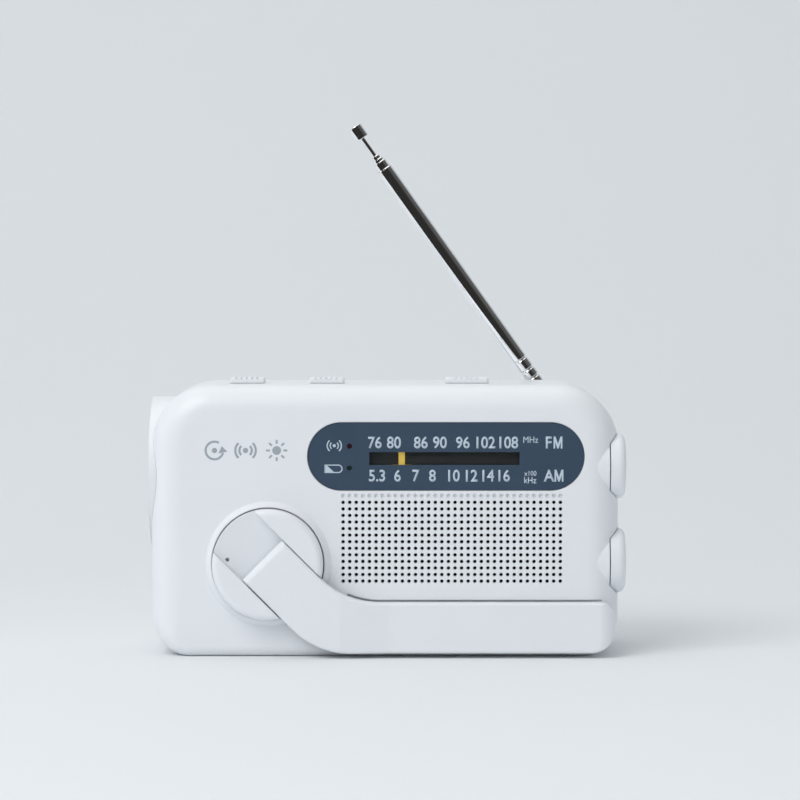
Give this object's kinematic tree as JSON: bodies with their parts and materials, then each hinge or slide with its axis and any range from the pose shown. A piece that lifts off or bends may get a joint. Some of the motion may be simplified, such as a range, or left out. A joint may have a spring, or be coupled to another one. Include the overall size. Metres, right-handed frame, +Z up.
{
  "type": "hand-crank emergency radio",
  "caption": "Pocket AM/FM radio with a rounded white case, folding hand crank, slide-rule dial, perforated speaker front, side knobs, torch and telescopic antenna.",
  "frame": {"origin": "on the table, in the middle of the case's underside (half its width and half its depth)", "axes": "+X to the listener's right, +Y from the front face to the back, +Z up"},
  "size_m": [0.1358, 0.0562, 0.1525],
  "materials": {
    "case_white": "satin-gloss moulded ABS",
    "grey_plastic": "fine matt",
    "grey_rubber": "matt",
    "dial_slate": "printed gloss panel",
    "clear_lens": "clear acrylic",
    "black_plastic": "matt",
    "pointer_yellow": "semi-gloss",
    "red_lens": "tinted epoxy",
    "green_lens": "tinted epoxy",
    "steel": "plain",
    "black_cloth": "woven cloth",
    "paper_cone": "pressed paper",
    "gear_plastic": "acetal",
    "brass": "turned",
    "copper": "enamelled winding",
    "reflector": "vacuum metallised",
    "led_dome": "clear epoxy over phosphor",
    "board_green": "solder mask",
    "antenna_chrome": "polished",
    "ferrite": "sintered",
    "cell_wrap": "shrink wrap"
  },
  "bodies": {
    "case": {"front_case": "case_white", "rear_case": "case_white", "torch_bezel": "case_white", "rubber_feet": "grey_rubber", "dial_panel": "dial_slate", "dial_window": "clear_lens", "torch_lens": "clear_lens", "dial_backing": "black_plastic", "tuning_led": "red_lens", "battery_led": "green_lens", "pointer_rail": "steel", "tuning_capacitor": "black_plastic", "volume_potentiometer": "black_plastic", "grille_cloth": "black_cloth", "speaker_basket": "black_plastic", "speaker_cone": "paper_cone", "speaker_magnet": "steel", "step_up_axle": "steel", "generator_coil": "copper", "generator_can": "steel", "gearbox_plate": "black_plastic", "torch_reflector": "reflector", "torch_led": "led_dome", "torch_board": "board_green", "switch_bases": "black_plastic", "main_board": "board_green", "ferrite_rod": "ferrite", "ferrite_coil": "copper", "usb_socket": "steel", "battery_tray": "black_plastic", "battery_cells": "cell_wrap", "battery_contacts": "steel", "case_screws": "steel"},
    "crank": {"crank_hub": "case_white", "crank_hinge_pin": "steel", "crank_shaft": "steel", "crank_gear": "gear_plastic"},
    "arm": {"crank_arm": "case_white", "finger_cup_screw": "steel"},
    "cup": {"finger_cup": "grey_plastic"},
    "step_up": {"step_up_gear": "gear_plastic"},
    "rotor": {"generator_pinion": "brass", "generator_rotor": "steel"},
    "tuning": {"tuning_knob": "case_white", "tuning_spindle": "grey_plastic"},
    "pointer": {"tuning_pointer": "pointer_yellow"},
    "volume": {"volume_knob": "case_white", "volume_shaft": "steel"},
    "light_slider": {"light_switch": "case_white"},
    "power_slider": {"power_switch": "case_white"},
    "band_slider": {"band_switch": "case_white"},
    "turret": {"antenna_turret": "antenna_chrome", "antenna_pin": "steel"},
    "mast_1": {"antenna_tube_1": "antenna_chrome"},
    "mast_2": {"antenna_tube_2": "antenna_chrome"},
    "mast_3": {"antenna_tube_3": "antenna_chrome"},
    "mast_4": {"antenna_tube_4": "antenna_chrome"},
    "mast_tip": {"antenna_tip": "antenna_chrome"},
    "door": {"battery_door": "case_white"},
    "flap": {"port_cover": "grey_rubber"}
  },
  "joints": [
    {"name": "crank_spin", "type": "hinge", "parent": "case", "child": "crank", "pos_m": [-0.0331, -0.025, 0.0265], "axis": [0, 1, 0], "continuous": true},
    {"name": "arm_fold", "type": "hinge", "parent": "crank", "child": "arm", "pos_m": [-0.0331, -0.0291, 0.0265], "axis": [-0.7071, 0, -0.7071], "range_deg": [0, 167]},
    {"name": "cup_spin", "type": "hinge", "parent": "arm", "child": "cup", "pos_m": [0.0566, -0.028, 0.00855], "axis": [0, 1, 0], "continuous": true},
    {"name": "step_up_spin", "type": "hinge", "parent": "case", "child": "step_up", "pos_m": [-0.0128, -0.014, 0.03389], "axis": [0, 1, 0], "continuous": true},
    {"name": "rotor_spin", "type": "hinge", "parent": "case", "child": "rotor", "pos_m": [-0.0053, -0.01, 0.0209], "axis": [0, 1, 0], "continuous": true},
    {"name": "tuning_turn", "type": "hinge", "parent": "case", "child": "tuning", "pos_m": [0.06, -0.0153, 0.0537], "axis": [1, 0, 0], "range_deg": [-56.5, 243.4]},
    {"name": "pointer_slide", "type": "slide", "parent": "case", "child": "pointer", "axis": [1, 0, 0], "range_m": [-0.0072, 0.031]},
    {"name": "volume_turn", "type": "hinge", "parent": "case", "child": "volume", "pos_m": [0.06, -0.0153, 0.0267], "axis": [1, 0, 0], "range_deg": [0, 270]},
    {"name": "light_slide", "type": "slide", "parent": "case", "child": "light_slider", "axis": [1, 0, 0], "range_m": [0, 0.003]},
    {"name": "power_slide", "type": "slide", "parent": "case", "child": "power_slider", "axis": [1, 0, 0], "range_m": [0, 0.003]},
    {"name": "band_slide", "type": "slide", "parent": "case", "child": "band_slider", "axis": [1, 0, 0], "range_m": [-0.003, 0.003]},
    {"name": "turret_swivel", "type": "hinge", "parent": "case", "child": "turret", "pos_m": [0.0476, 0.021, 0.0715], "axis": [0, 1, 0], "range_deg": [-54.6, 70]},
    {"name": "mast_tilt", "type": "hinge", "parent": "turret", "child": "mast_1", "pos_m": [0.0476, 0.021, 0.0715], "axis": [-0.8151, 0, -0.5793], "range_deg": [0, 90]},
    {"name": "mast_2_slide", "type": "slide", "parent": "mast_1", "child": "mast_2", "axis": [-0.5793, 0, 0.8151], "range_m": [0, 0.059]},
    {"name": "mast_3_slide", "type": "slide", "parent": "mast_2", "child": "mast_3", "axis": [-0.5793, 0, 0.8151], "range_m": [0, 0.059]},
    {"name": "mast_4_slide", "type": "slide", "parent": "mast_3", "child": "mast_4", "axis": [-0.5793, 0, 0.8151], "range_m": [0, 0.059]},
    {"name": "mast_tip_slide", "type": "slide", "parent": "mast_4", "child": "mast_tip", "axis": [-0.5793, 0, 0.8151], "range_m": [0, 0.059]},
    {"name": "door_swing", "type": "hinge", "parent": "case", "child": "door", "pos_m": [0.02, 0.0237, 0.0085], "axis": [-1, 0, 0], "range_deg": [0, 95]},
    {"name": "flap_swing", "type": "hinge", "parent": "case", "child": "flap", "pos_m": [-0.0541, 0.0242, 0.014], "axis": [0, 0, 1], "range_deg": [0, 90]}
  ],
  "couplings": [
    {"joint": "step_up_spin", "follows": "crank_spin", "ratio": -5},
    {"joint": "rotor_spin", "follows": "crank_spin", "ratio": 20},
    {"joint": "pointer_slide", "follows": "tuning_turn", "m_per_rad": 0.0072957}
  ]
}
